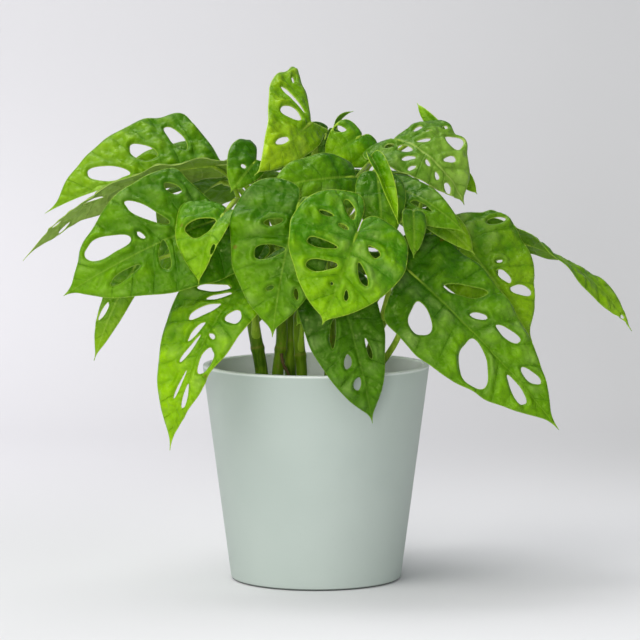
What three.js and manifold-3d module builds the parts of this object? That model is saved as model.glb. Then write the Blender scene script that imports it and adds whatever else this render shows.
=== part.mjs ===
// Monstera adansonii, the Swiss cheese vine, growing in a tapered glazed pot.
// Millimetres, +Z up. The origin is the middle of the pot's flat underside.
import * as THREE from "three";
import { mergeVertices } from "three/addons/utils/BufferGeometryUtils.js";
import Module from "manifold-3d";

const wasm = await Module();
wasm.setup();

const POT = { height: 152, rimRadius: 80, baseRadius: 60, wall: 5, floor: 7, lip: 1.5, foot: 2.5 };
const POT_SIDES = 48;
const SOIL = { top: 127, dome: 2.5 };
const GAP = 0.3; // between two pieces that touch
const WELD = 1e-4; // vertices nearer than this are one
const BLADE_THICKNESS = 0.8;
const HOLE_SIDES = 6;
const VEIN_TURN = { base: 100, tip: 30 }; // a side vein's turn from the midrib, in degrees
const HOLE_REACH = 4; // how far a perforation's cutter stands out of each face
const SMALLEST_HOLE = { length: 9, width: 4 }; // smaller perforations are left to the surface model
const PETIOLE_REACH = 2; // how far the petiole runs on under the midrib
const PETIOLE_RADIUS = 2.2;
const PETIOLE_SIDES = 5;
const PETIOLE_STEPS = 5;
const STEM_SIDES = 7;
const STEM_STEPS = 10;

const TONES = { lime: 0x8fb81c, bright: 0x6fa31a, mid: 0x4f8a1e, deep: 0x37691a, olive: 0x7d9246 };

// Each vine: the points its middle line passes through, and its radius.
const STEMS = {
  stem_left: {
    radius: 4.6,
    path: [[-36, -20, 112], [-38, -22, 148], [-43, -25, 178], [-50, -25, 227], [-50, -15, 262]],
  },
  stem_inner: {
    radius: 4.2,
    path: [[-28, -5, 112], [-27, -5, 146], [-24, -5, 176], [-34, -8, 240], [-40, -5, 280]],
  },
  stem_centre: { radius: 4, path: [[-17, 9, 112], [-18, 8, 175], [-11, 8, 218], [0, 8, 300]] },
  stem_front: {
    radius: 4,
    path: [[-10, -25, 112], [-10, -25, 148], [-12, -28, 182], [-4, -38, 221], [5, -45, 252]],
  },
  stem_right: {
    radius: 3.8,
    path: [[38, -22, 112], [38, -22, 150], [41, -20, 172], [55, -13, 200], [68, -3, 240]],
  },
  stem_back: { radius: 4.2, path: [[10, 32, 112], [10, 34, 160], [12, 36, 220], [18, 34, 270]] },
};

const AERIAL_ROOT = {
  stem: "stem_inner", radius: 1.1,
  path: [[-20, -14, 126.9], [-23, -16, 136], [-19, -14, 144], [-23, -11, 153], [-25, -6, 160]],
};

// Half of a blade's outline: share of the length along the midrib (a share of the basal lobe's depth where
// it is negative), share of the half width across it, and how far a deep lobe pulls the point back.
const OUTLINE = [
  [0, 0, 0], [-0.7, 0.06, 0], [-1, 0.34, 0], [-0.55, 0.7, 0.15], [0.08, 0.93, 0.45], [0.26, 1, 0.35],
  [0.45, 0.93, 0.26], [0.63, 0.74, 0.15], [0.8, 0.46, 0.05], [0.91, 0.2, 0], [0.965, 0.07, 0], [1, 0, 0],
];
const LEAST_NOTCH = 0.03; // half of the notch between the basal lobes, as a share of the half width
const BROAD = 20; // a blade with a half wider than this has two strips between midrib and margin, not one

// Shares of the blade: along its length, across its half width, the hole's length over the half width and
// the hole's width over the length.
const PAIRED = [[0.08, 0.42, 0.5, 0.1], [0.3, 0.45, 0.55, 0.11], [0.52, 0.36, 0.42, 0.09]];

// Each leaf: its vine and how far up it the petiole leaves (0 to 1), a point the petiole passes through, the
// blade's base and tip, the way its upper face looks, the arch of the midrib, and for the two halves (the
// one on the side chord x face first) the width, lobe depth, fold at the midrib and curl to the margin.
// A hole is [along, across, length, width], with the turn of its long axis from the midrib in degrees where
// it doesn't follow the side veins. A lobe under 0 slants the base back into a wedge. `sinus` opens the notch
// at the base, or closes it where it is under 0. `taper` thins a half to the tip, or broadens it.
const LEAVES = {
  leaf_left_high: {
    stem: "stem_inner", at: 0.88, via: [-54, 3, 283], tone: "bright",
    base: [-66, 4, 293], tip: [-186, -15, 261], face: [0, -0.75, 0.65], bow: 12,
    wide: [51, 17], lobe: [-0.1, 0.14], fold: [8, 48], curl: [20, 0], taper: [0.12, 0],
    holes: [
      [27, 26, 24, 10, 70], [53, 18, 22, 12, 40], [81, 9, 30, 12, 25],
    ],
  },
  leaf_left_narrow: {
    stem: "stem_left", at: 0.97, via: [-60, -22, 284], tone: "olive",
    base: [-69, -32, 294], tip: [-199, -50, 232], face: [-0.35, 0.42, 0.85], bow: 16,
    wide: [19, 20], lobe: [0.1, 0.1], fold: [-5, -5], curl: [10, 10], taper: [-0.4, 0],
    holes: [
      [90, -4, 20, 4, 40], [120, -5, 8, 6, 20], [116, 8, 11, 4, 0],
    ],
  },
  leaf_left_broad: {
    stem: "stem_left", at: 0.9, via: [-60, -40, 258], tone: "mid",
    base: [-62, -66, 260], tip: [-169, -82, 209], face: [-0.15, -0.95, 0.28], bow: 14,
    wide: [48, 41], lobe: [-0.12, 0.2], fold: [4, 6], curl: [10, 10],
    holes: [
      [26, 31, 13, 7, 45], [50, 23, 33, 9, 50], [84, 14, 33, 14, 10], [60, 10, 7, 3],
      [52, -10, 20, 8], [82, -10, 24, 6, 5],
    ],
  },
  leaf_left_small: {
    stem: "stem_left", at: 0.95, via: [-54, -46, 270], tone: "lime",
    base: [-62, -84, 264], tip: [-79, -99, 218], face: [-0.4, -0.93, 0.2], bow: 9,
    wide: [33, 9], lobe: [0.15, 0.1], fold: [8, 8], curl: [15, 10], taper: [0.3, -0.15],
    holes: [
      [18, 9, 20, 14, 50], [31, -6, 8, 3, 0],
    ],
  },
  leaf_left_hanging: {
    stem: "stem_left", at: 0.45, via: [-42, -46, 212], tone: "bright",
    base: [-37, -60, 229], tip: [-99, -88, 106], face: [-0.4, -0.85, 0.35], bow: 22,
    wide: [39, 28], lobe: [0.12, 0.18], fold: [5, 5], curl: [15, 15], taper: [0, 0.35],
    holes: [
      [35, 15, 24, 6, 65], [40, 8, 17, 4, 50], [54, 11, 24, 6, 40], [50, -11, 12, 10, 110],
      [69, 9, 17, 4, 20], [68, -4, 6, 3], [82, 7, 22, 3, 12], [85, -8, 20, 9, 0],
      [107, 4, 20, 2, 5], [113, -3, 16, 4, 5],
    ],
  },
  leaf_centre_left: {
    stem: "stem_front", at: 0.85, via: [-4, -70, 260], tone: "mid",
    base: [-11, -96, 273], tip: [-29, -108, 184], face: [-0.25, -0.95, 0.1], bow: 8,
    wide: [43, 31], lobe: [0.14, 0.05], fold: [8, -12], curl: [15, 15],
    holes: [
      [19, 13, 12, 5, 70], [39, 12, 20, 10], [63, 6, 6, 3], [64, -12, 8, 3, 15],
    ],
  },
  leaf_centre_heart: {
    stem: "stem_front", at: 0.98, via: [18, -88, 250], tone: "lime",
    base: [28, -112, 253], tip: [5, -130, 194], face: [0.05, -1, 0.15], bow: 5,
    wide: [45, 39], lobe: [0.46, 0.24], fold: [6, 6], curl: [14, 14], sinus: -0.22,
    holes: [
      [18, 20, 20, 6], [1, 10, 7, 3], [-4, 24, 10, 3, 90], [-14, 10, 17, 6, 145],
      [10, -15, 10, 6, 65], [28, -13, 16, 5, 40], [32, 15, 21, 8], [41, 4, 2, 2], [45, -8, 7, 3, 20],
    ],
  },
  leaf_front_hanging: {
    stem: "stem_front", at: 0.62, via: [8, -62, 212], tone: "deep",
    base: [15, -82, 215], tip: [38, -95, 124], face: [0.1, -0.97, 0.2], bow: 12,
    wide: [32, 23], lobe: [0.08, 0.1], fold: [8, 8], curl: [20, 20],
    holes: [
      [34, 13, 20, 4, 20], [55, 8, 10, 5, 20], [71, 5, 9, 5, 20], [50, -8, 14, 3, 5],
    ],
  },
  leaf_top: {
    stem: "stem_centre", at: 0.97, via: [-1, -4, 312], tone: "lime",
    base: [-3, -14, 323], tip: [-41, -56, 289], face: [0.15, -0.95, 0.25], bow: 4,
    wide: [48, 16], lobe: [0.65, 0.2], fold: [0, -20], curl: [10, 0], sinus: 0.7, taper: [0.8, 0],
    holes: [
      [-5, 21, 24, 4], [9, 14, 17, 9, 70], [33, 4, 11, 5, 20], [-23, 31, 8, 2, 155],
    ],
  },
  leaf_top_round: {
    stem: "stem_centre", at: 0.9, via: [18, 4, 307], tone: "bright",
    base: [32, -2, 313], tip: [6, -8, 296], face: [0.2, -0.9, 0.4], bow: 4,
    wide: [17, 22], lobe: [0.05, 0.28], fold: [0, 0], curl: [10, 30],
    holes: [
      [11, 12, 9, 5, 43],
    ],
  },
  leaf_top_dark: {
    stem: "stem_centre", at: 0.8, via: [6, 22, 308], tone: "deep",
    base: [8, 26, 315], tip: [-6, 14, 284], face: [0.2, -0.9, 0.4], bow: 4,
    wide: [15, 16], lobe: [0.15, 0.15], fold: [0, 0], curl: [10, 10], holes: [],
  },
  leaf_crown_small: {
    stem: "stem_inner", at: 0.97, via: [-40, -22, 290], tone: "olive",
    base: [-41, -44, 298], tip: [-58, -60, 277], face: [0, -1, 0.1], bow: 3,
    wide: [20, 10], lobe: [0.7, 0.1], fold: [0, 0], curl: [10, 0], sinus: 0.45,
    holes: [
      [12, 4, 4, 3, 90],
    ],
  },
  leaf_crown_mid: {
    stem: "stem_centre", at: 0.72, via: [16, -34, 278], tone: "mid",
    base: [27, -58, 287], tip: [-32, -80, 280], face: [0, -0.9, 0.4], bow: 5,
    wide: [16, 21], lobe: [0.02, 0.08], fold: [0, 0], curl: [15, 10], taper: [-0.8, -0.4],
    holes: [
      [49, -4, 3, 2, 165], [45, -9, 2, 2, 166],
    ],
  },
  leaf_right_high: {
    stem: "stem_back", at: 0.88, via: [38, 14, 292], tone: "bright",
    base: [54, -14, 311], tip: [102, -34, 268], face: [0.1, -0.8, 0.6], bow: 15,
    wide: [29, 38], lobe: [0.22, 0], fold: [6, 6], curl: [0, 38], taper: [0.2, 0],
    holes: [
      [7, 10, 7, 6], [18, 6, 11, 7, 170], [27, 12, 10, 4, 121], [38, 5, 6, 3, 34],
      [38, -24, 14, 12, 30], [9, -16, 8, 5], [19, -17, 5, 3, 66], [22, -31, 6, 3, 98],
      [23, -8, 9, 3, 50], [46, -10, 9, 5], [34, 17, 6, 3, 104], [49, 7, 6, 3, 30], [60, 6, 8, 5, 19],
    ],
  },
  leaf_right_long: {
    stem: "stem_back", at: 0.8, via: [40, 2, 270], tone: "mid",
    base: [46, -49, 282], tip: [101, -76, 250], face: [0.15, -0.75, 0.6], bow: 8,
    wide: [24, 14], lobe: [0.15, 0], fold: [0, 0], curl: [10, 10],
    holes: [
      [13, 4, 8, 3, 170], [20, 9, 8, 3, 170], [37, 5, 17, 4, 175],
    ],
  },
  leaf_right_broad: {
    stem: "stem_right", at: 0.2, via: [58, -48, 179], tone: "mid",
    base: [61, -75, 226], tip: [162, -100, 121], face: [0.25, -0.9, 0.35], bow: 8,
    wide: [41, 38], lobe: [-0.08, 0.12], fold: [6, 6], curl: [15, 10],
    holes: [
      [34, 21, 25, 15, 45], [81, 16, 33, 21, 35], [114, 6, 22, 8, 10],
      [40, -17, 28, 9, 40], [59, -11, 12, 5, 40], [82, -17, 20, 7, 10], [113, -9, 17, 7, 15],
    ],
  },
  leaf_right_shoulder: {
    stem: "stem_right", at: 0.85, via: [72, -16, 248], tone: "bright",
    base: [86, -30, 256], tip: [148, -50, 175], face: [0.3, -0.9, 0.3], bow: 10,
    wide: [32, 40], lobe: [0.15, -0.13], fold: [0, 0], curl: [15, 10],
    holes: [
      [24, -31, 14, 6, 65], [50, -12, 5, 2], [60, -8, 12, 6, 15], [75, -13, 17, 7],
    ],
  },
  leaf_right_far: {
    stem: "stem_right", at: 0.72, via: [96, 8, 232], tone: "bright",
    base: [128, 0, 242], tip: [220, -10, 179], face: [0.55, -0.15, 0.83], bow: 13,
    wide: [22, 18], lobe: [0.1, 0.1], fold: [0, 0], curl: [10, 10], twist: -100,
    holes: [
      [107, 1, 3, 3],
    ],
  },
  leaf_new_rolled: {
    stem: "stem_back", at: 0.98, via: [34, -34, 292], tone: "lime",
    base: [38, -80, 301], tip: [55, -106, 259], face: [0.3, -0.9, 0.3], bow: 3,
    wide: [9, 9], lobe: [0.05, 0.05], fold: [50, 50], curl: [0, 0], holes: [],
  },
  leaf_inner_right: {
    stem: "stem_back", at: 0.66, via: [24, -62, 257], tone: "mid",
    base: [42, -76, 288], tip: [45, -98, 238], face: [0.1, -0.95, 0.3], bow: 4,
    wide: [16, 18], lobe: [0.1, 0.1], fold: [0, 0], curl: [15, 15], holes: [],
  },
  leaf_right_tip: {
    stem: "stem_right", at: 0.97, via: [80, 6, 276], tone: "lime",
    base: [102, 8, 288], tip: [113, 4, 272], face: [0.1, -0.9, 0.4], bow: 2,
    wide: [8, 4], lobe: [0.1, 0.1], fold: [0, 0], curl: [10, 10], holes: [],
  },
  leaf_right_small: {
    stem: "stem_front", at: 0.93, via: [44, -74, 252], tone: "lime",
    base: [66, -88, 265], tip: [66, -97, 235], face: [0.1, -0.95, 0.3], bow: 3,
    wide: [9, 9], lobe: [0.05, 0.05], fold: [15, -10], curl: [10, 10], taper: [0.3, 0], holes: [],
  },
  leaf_right_inner: {
    stem: "stem_right", at: 0.6, via: [60, -42, 240], tone: "bright",
    base: [76, -60, 261], tip: [108, -66, 235], face: [0.2, -0.9, 0.4], bow: 4,
    wide: [9, 13], lobe: [0.05, 0.1], fold: [6, 6], curl: [10, 10], holes: [],
  },
  leaf_left_pendant: {
    stem: "stem_left", at: 0.6, via: [-86, -34, 232], tone: "bright",
    base: [-124, -30, 226], tip: [-153, -45, 161], face: [-0.4, -0.9, 0.2], bow: 5,
    wide: [13, 11], lobe: [0.1, 0.1], fold: [0, 0], curl: [10, 10],
    holes: [
      [41, 6, 14, 4, 10],
    ],
  },
  leaf_inner_small: {
    stem: "stem_front", at: 0.35, via: [-8, -46, 198], tone: "olive",
    base: [-4, -62, 206], tip: [-13, -68, 186], face: [0.4, -0.9, 0], bow: 2,
    wide: [9, 9], lobe: [0.1, 0.1], fold: [20, 20], curl: [0, 0], holes: [],
  },
  leaf_back_crown: {
    stem: "stem_centre", at: 0.68, via: [0, 28, 300], tone: "mid",
    base: [13, 40, 313], tip: [26, 52, 328], face: [-0.6, 0.4, 0.7], bow: 3,
    wide: [5, 5], lobe: [0.1, 0.1], fold: [20, 20], curl: [0, 0], holes: [],
  },
  leaf_back_point: {
    stem: "stem_back", at: 0.95, via: [60, 30, 302], tone: "lime",
    base: [88, 22, 316], tip: [72, 32, 334], face: [-0.3, -0.9, 0.1], bow: 3,
    wide: [4, 5], lobe: [0.1, 0.1], fold: [0, 0], curl: [0, 0], holes: [],
  },
  leaf_left_behind: {
    stem: "stem_inner", at: 0.81, via: [-56, 20, 285], tone: "lime",
    base: [-82, 24, 297], tip: [-134, 20, 291], face: [-0.1, -0.8, 0.6], bow: 3,
    wide: [14, 12], lobe: [0.1, 0.1], fold: [0, 0], curl: [15, 15], holes: [],
  },
  leaf_mid_left: {
    stem: "stem_inner", at: 0.62, via: [-64, 4, 243], tone: "mid",
    base: [-93, 14, 244], tip: [-116, 24, 206], face: [-0.6, -0.6, 0.5], bow: 5,
    wide: [18, 16], lobe: [0.2, 0.2], fold: [6, 6], curl: [15, 15], holes: [],
  },
  leaf_back_left: {
    stem: "stem_inner", at: 0.75, via: [-52, 18, 272], tone: "mid",
    base: [-66, 40, 280], tip: [-108, 108, 222], face: [-0.4, 0.6, 0.7], bow: 10,
    wide: [34, 34], lobe: [0.2, 0.2], fold: [6, 6], curl: [15, 15],
    holes: [
      [30, -16, 19, 9], [52, 13, 15, 8], [52, -13, 15, 8],
    ],
  },
  leaf_back_centre: {
    stem: "stem_back", at: 0.62, via: [0, 50, 274], tone: "bright",
    base: [-10, 62, 286], tip: [-20, 145, 215], face: [0, 0.6, 0.8], bow: 12,
    wide: [29, 29], lobe: [0.2, 0.2], fold: [6, 6], curl: [15, 15],
  },
  leaf_back_right: {
    stem: "stem_back", at: 0.82, via: [36, 50, 274], tone: "mid",
    base: [48, 58, 280], tip: [90, 125, 215], face: [0.4, 0.6, 0.7], bow: 10,
    wide: [32, 34], lobe: [0.2, 0.2], fold: [6, 6], curl: [15, 15],
  },
  leaf_back_low_left: {
    stem: "stem_centre", at: 0.4, via: [-26, 42, 226], tone: "deep",
    base: [-30, 66, 232], tip: [-45, 122, 165], face: [-0.2, 0.75, 0.6], bow: 10,
    wide: [30, 30], lobe: [0.2, 0.2], fold: [6, 6], curl: [15, 15],
  },
  leaf_back_low_right: {
    stem: "stem_back", at: 0.45, via: [22, 54, 218], tone: "deep",
    base: [28, 72, 230], tip: [28, 122, 168], face: [0.2, 0.75, 0.6], bow: 10,
    wide: [30, 30], lobe: [0.2, 0.2], fold: [6, 6], curl: [15, 15],
  },
  leaf_back_side: {
    stem: "stem_right", at: 0.6, via: [76, 16, 244], tone: "mid",
    base: [88, 26, 254], tip: [126, 66, 196], face: [0.7, 0.5, 0.5], bow: 8,
    wide: [30, 30], lobe: [0.2, 0.2], fold: [6, 6], curl: [15, 15],
  },
};

const vector = (p) => new THREE.Vector3(...p);
const radians = THREE.MathUtils.degToRad;

// A geometry from a flat list of coordinates and a flat list of vertex numbers, three to a triangle.
function indexed(coordinates, faces) {
  const geometry = new THREE.BufferGeometry();
  geometry.setAttribute("position", new THREE.Float32BufferAttribute(coordinates, 3));
  return geometry.setIndex(Array.from(faces));
}

// A closed geometry as a manifold solid, and back.
function solid(geometry) {
  const bare = new THREE.BufferGeometry().setAttribute("position", geometry.getAttribute("position"));
  bare.setIndex(geometry.index);
  const merged = mergeVertices(bare, WELD);
  return new wasm.Manifold(
    new wasm.Mesh({
      numProp: 3,
      vertProperties: merged.attributes.position.array,
      triVerts: new Uint32Array(merged.index.array),
    }),
  );
}

function geometryOf(body) {
  const mesh = body.getMesh();
  const geometry = indexed(mesh.vertProperties, mesh.triVerts);
  geometry.computeVertexNormals();
  return geometry;
}

// How far a circular arc has gone forward and sideways after the length s, where it starts at an angle
// and turns back by `turn` over `length`.
function arc(s, start, turn, length) {
  const bend = turn / length;
  if (Math.abs(bend) < 1e-6) return [s * Math.cos(start), s * Math.sin(start)];
  const end = start - bend * s;
  return [(Math.sin(start) - Math.sin(end)) / bend, (Math.cos(end) - Math.cos(start)) / bend];
}

// The blade's own frame, its true length, and the map from flat leaf coordinates to space.
function bladeShape(leaf) {
  const base = vector(leaf.base);
  const chord = vector(leaf.tip).sub(base);
  const span = chord.length();
  const ahead = chord.normalize();
  const up = vector(leaf.face);
  up.addScaledVector(ahead, -up.dot(ahead)).normalize();
  const side = new THREE.Vector3().crossVectors(ahead, up);
  const turn = 4 * Math.atan((2 * leaf.bow) / span);
  const length = turn ? (span * turn) / 2 / Math.sin(turn / 2) : span;

  // along the midrib, across it, and height over the mid surface
  function place(along, across, height = 0) {
    const [forward, rise] = arc(along, turn / 2, turn, length);
    const tilt = turn / 2 - (turn * along) / length;
    const roll = radians(leaf.twist ?? 0) * (along / length - 0.5);
    const flatUp = up.clone().multiplyScalar(Math.cos(tilt)).addScaledVector(ahead, -Math.sin(tilt));
    const left = side.clone().multiplyScalar(Math.cos(roll)).addScaledVector(flatUp, Math.sin(roll));
    const top = flatUp.clone().multiplyScalar(Math.cos(roll)).addScaledVector(side, -Math.sin(roll));
    const half = across >= 0 ? 0 : 1;
    const sign = half ? -1 : 1;
    const fold = radians(leaf.fold[half]);
    const curl = radians(leaf.curl[half]);
    const reach = Math.abs(across);
    const [out, lift] = arc(reach, fold, curl, leaf.wide[half]);
    const slope = reach ? fold - (curl * reach) / leaf.wide[half] : 0;
    return base.clone()
      .addScaledVector(ahead, forward)
      .addScaledVector(up, rise)
      .addScaledVector(left, sign * (out - height * Math.sin(slope)))
      .addScaledVector(top, lift + height * Math.cos(slope));
  }
  return { length, place };
}

// One half's margin points in flat coordinates.
function margin(leaf, length, half) {
  const sign = half ? -1 : 1;
  const depth = leaf.lobe[half] * length;
  return OUTLINE.map(([x, y, pull]) => {
    const start = x * Math.max(depth, 0) + y * Math.max(-depth, 0);
    const along = (x < 0 ? start : x * length) - pull * depth;
    const opening = x < 0 ? Math.max(-x * (1 - y) * (leaf.sinus ?? 0), LEAST_NOTCH - y) : 0;
    const taper = 1 - Math.max(x, 0) * (leaf.taper?.[half] ?? 0);
    return [along, sign * (y + opening) * taper * leaf.wide[half]];
  });
}

// The blade as a closed thin slab: rows of vertices fan out from the midrib to both margins.
function bladeGeometry(leaf, shape) {
  const columns = Math.max(...leaf.wide) > BROAD ? 2 : 1;
  const rows = OUTLINE.length;
  const vertices = [];
  const faces = [];
  const index = new Map();
  function vertex(row, column, top) {
    // columns run from the first half's margin (-columns) over the midrib (0) to the other (columns)
    const ends = row === 0 || row === rows - 1;
    const key = [row, ends ? 0 : column, top].join();
    if (!index.has(key)) {
      const half = column <= 0 ? 0 : 1;
      const origin = [shape.length * (row / (rows - 1)) ** 2, 0];
      const edge = margin(leaf, shape.length, half)[row];
      const share = ends ? 0 : Math.abs(column) / columns;
      const flat = origin.map((value, i) => value + (edge[i] - value) * share);
      const point = shape.place(flat[0], flat[1], ((top ? 1 : -1) * BLADE_THICKNESS) / 2);
      index.set(key, vertices.length / 3);
      vertices.push(...point.toArray());
    }
    return index.get(key);
  }
  const mirrored = ([a, b, c, d]) => [a, d, c, b];
  function quad(a, b, c, d) {
    if (a !== b && b !== c && c !== a) faces.push(a, b, c);
    if (a !== c && c !== d && d !== a) faces.push(a, c, d);
  }
  for (let row = 0; row < rows - 1; row++) {
    for (let column = -columns; column < columns; column++) {
      for (const top of [true, false]) {
        const corners = [
          vertex(row, column, top), vertex(row, column + 1, top),
          vertex(row + 1, column + 1, top), vertex(row + 1, column, top),
        ];
        quad(...(top ? mirrored(corners) : corners));
      }
    }
    for (const [column, flip] of [[-columns, true], [columns, false]]) {
      const wall = [
        vertex(row, column, true), vertex(row + 1, column, true),
        vertex(row + 1, column, false), vertex(row, column, false),
      ];
      quad(...(flip ? mirrored(wall) : wall));
    }
  }
  return indexed(vertices, faces);
}

// Perforations between the side veins, in pairs, for a blade that lists none of its own.
function pairedHoles(leaf, length) {
  return PAIRED.flatMap(([along, across, long, wide]) =>
    [1, -1].map((sign) => {
      const half = leaf.wide[sign > 0 ? 0 : 1];
      return [along * length, sign * across * half, long * half, wide * length];
    }));
}

// A perforation's cutter: an ellipse whose long axis follows the side veins, which lean further forward
// nearer the tip.
function holeGeometry([along, across, length, width, turned], shape) {
  const lean = radians(turned ?? THREE.MathUtils.lerp(VEIN_TURN.base, VEIN_TURN.tip, along / shape.length));
  const sign = Math.sign(across) || 1;
  const vertices = [];
  const faces = [];
  for (const height of [-HOLE_REACH, HOLE_REACH]) {
    for (let i = 0; i < HOLE_SIDES; i++) {
      const turn = (2 * Math.PI * i) / HOLE_SIDES;
      const far = (Math.cos(turn) * length) / 2;
      const wide = (Math.sin(turn) * width) / 2;
      const x = along + far * Math.cos(lean) - wide * Math.sin(lean);
      const y = across + sign * (far * Math.sin(lean) + wide * Math.cos(lean));
      vertices.push(...shape.place(x, y, height).toArray());
    }
  }
  for (let i = 0; i < HOLE_SIDES; i++) {
    const next = (i + 1) % HOLE_SIDES;
    const corners = [i, next, next + HOLE_SIDES, i + HOLE_SIDES];
    faces.push(corners[0], corners[1], corners[2], corners[0], corners[2], corners[3]);
    if (i > 1) faces.push(0, i, i - 1, HOLE_SIDES, HOLE_SIDES + i - 1, HOLE_SIDES + i);
  }
  if (sign > 0) faces.reverse();
  return indexed(vertices, faces);
}

// A round bar of the given radius along a smooth line through the points.
function bar(points, radius, sides, steps) {
  const ring = new THREE.Shape(
    Array.from({ length: sides }, (_, i) => {
      const turn = (2 * Math.PI * i) / sides;
      return new THREE.Vector2(radius * Math.cos(turn), radius * Math.sin(turn));
    }),
  );
  const path = new THREE.CatmullRomCurve3(points, false, "centripetal");
  return new THREE.ExtrudeGeometry(ring, { steps, extrudePath: path, bevelEnabled: false });
}

const stemCurve = (stem) => new THREE.CatmullRomCurve3(stem.path.map(vector), false, "centripetal");
const stemSolid = (stem, spare = 0) =>
  solid(bar(stem.path.map(vector), stem.radius + spare, STEM_SIDES, STEM_STEPS));

function leafSolid(leaf) {
  const shape = bladeShape(leaf);
  const stem = STEMS[leaf.stem];
  const start = stemCurve(stem).getPoint(leaf.at);
  const end = shape.place(PETIOLE_REACH, 0);
  const line = [start, vector(leaf.via), end];
  const petiole = solid(bar(line, PETIOLE_RADIUS, PETIOLE_SIDES, PETIOLE_STEPS));
  let blade = solid(bladeGeometry(leaf, shape));
  const holes = leaf.holes ?? pairedHoles(leaf, shape.length);
  const large = holes.filter(([, , length, width]) =>
    length >= SMALLEST_HOLE.length && width >= SMALLEST_HOLE.width);
  for (const hole of large) blade = blade.subtract(solid(holeGeometry(hole, shape)));
  return blade.add(petiole).subtract(stemSolid(stem, GAP));
}

function potGeometry() {
  const { height, rimRadius, baseRadius, wall, floor, lip, foot } = POT;
  const outline = new THREE.Path();
  const slope = (rimRadius - baseRadius) / height;
  outline.moveTo(0, 0);
  outline.lineTo(baseRadius - foot, 0);
  outline.quadraticCurveTo(baseRadius, 0, baseRadius + slope * foot, foot);
  outline.lineTo(rimRadius - slope * lip, height - lip);
  outline.quadraticCurveTo(rimRadius, height, rimRadius - lip, height);
  outline.lineTo(rimRadius - wall + lip, height);
  outline.quadraticCurveTo(rimRadius - wall, height, rimRadius - wall - slope * lip, height - lip);
  outline.lineTo(baseRadius - wall + slope * floor, floor);
  outline.lineTo(0, floor);
  return new THREE.LatheGeometry(outline.getPoints(2), POT_SIDES).rotateX(Math.PI / 2);
}

// The inside radius of the pot's wall at a height.
const innerRadius = (z) =>
  POT.baseRadius - POT.wall + ((POT.rimRadius - POT.baseRadius) * z) / POT.height;

function soilSolid() {
  const bottom = POT.floor + GAP;
  const shoulder = SOIL.top - SOIL.dome;
  const reach = innerRadius(shoulder) - GAP;
  const outline = [
    [0, bottom], [innerRadius(bottom) - GAP, bottom], [reach, shoulder],
    [reach * 0.7, shoulder + SOIL.dome * 0.6], [0, SOIL.top],
  ];
  const lathe = new THREE.LatheGeometry(outline.map((p) => new THREE.Vector2(...p)), POT_SIDES);
  let body = solid(lathe.rotateX(Math.PI / 2));
  for (const stem of Object.values(STEMS)) body = body.subtract(stemSolid(stem, GAP));
  return body;
}

function piece(name, geometry, colour, roughness) {
  const material = new THREE.MeshStandardMaterial({ color: colour, roughness, metalness: 0 });
  const mesh = new THREE.Mesh(geometry, material);
  mesh.name = name;
  return mesh;
}

// A thin root hanging from a vine down to the soil.
function aerialRootSolid() {
  const { stem, radius, path } = AERIAL_ROOT;
  return solid(bar(path.map(vector), radius, STEM_SIDES, STEM_STEPS)).subtract(stemSolid(STEMS[stem], GAP));
}

const plant = new THREE.Group();
plant.add(piece("pot", potGeometry(), 0xb9c4b9, 0.6));
plant.add(piece("soil", geometryOf(soilSolid()), 0x2c211a, 0.95));
for (const [name, stem] of Object.entries(STEMS)) {
  plant.add(piece(name, geometryOf(stemSolid(stem)), 0x5d7a1c, 0.5));
}
plant.add(piece("aerial_root", geometryOf(aerialRootSolid()), 0x4a3a26, 0.7));
for (const [name, leaf] of Object.entries(LEAVES)) {
  plant.add(piece(name, geometryOf(leafSolid(leaf)), TONES[leaf.tone], 0.4));
}

export default plant;
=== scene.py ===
# Monstera adansonii in a tapered sage-green pot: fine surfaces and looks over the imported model.
# Lengths of the plant and the pot are millimetres until `MM` turns them into Blender's metres. The stage,
# the lights and the camera are in metres. Colours are 0 to 255 screen values.
import math
from dataclasses import dataclass

import bpy
import numpy as np
from mathutils.geometry import delaunay_2d_cdt
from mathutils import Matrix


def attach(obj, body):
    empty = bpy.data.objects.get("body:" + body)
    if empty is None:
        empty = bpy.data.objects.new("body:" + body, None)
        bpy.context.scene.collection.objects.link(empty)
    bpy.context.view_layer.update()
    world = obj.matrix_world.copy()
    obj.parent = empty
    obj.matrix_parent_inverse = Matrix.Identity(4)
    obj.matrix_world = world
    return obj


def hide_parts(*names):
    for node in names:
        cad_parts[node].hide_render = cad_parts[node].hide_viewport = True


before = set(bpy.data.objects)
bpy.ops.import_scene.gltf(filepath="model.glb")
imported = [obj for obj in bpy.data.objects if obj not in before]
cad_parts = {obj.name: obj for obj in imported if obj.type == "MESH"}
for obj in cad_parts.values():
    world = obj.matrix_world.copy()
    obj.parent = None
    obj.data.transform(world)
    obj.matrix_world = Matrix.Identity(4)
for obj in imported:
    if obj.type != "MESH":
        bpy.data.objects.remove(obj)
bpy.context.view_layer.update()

MM = 0.001

# ---------------- driving values

POT = dict(height=152, rim_radius=80, base_radius=60, wall=5, floor=7, lip=1.5, foot=2.5, sides=160)
SOIL = dict(top=127, dome=2.5, gap=0.3, rings=64, sides=150)
CRUMBS = dict(count=420, size=(0.9, 2.9), perlite_every=9, perlite_scale=0.6, rings=6, sides=9)
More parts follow.
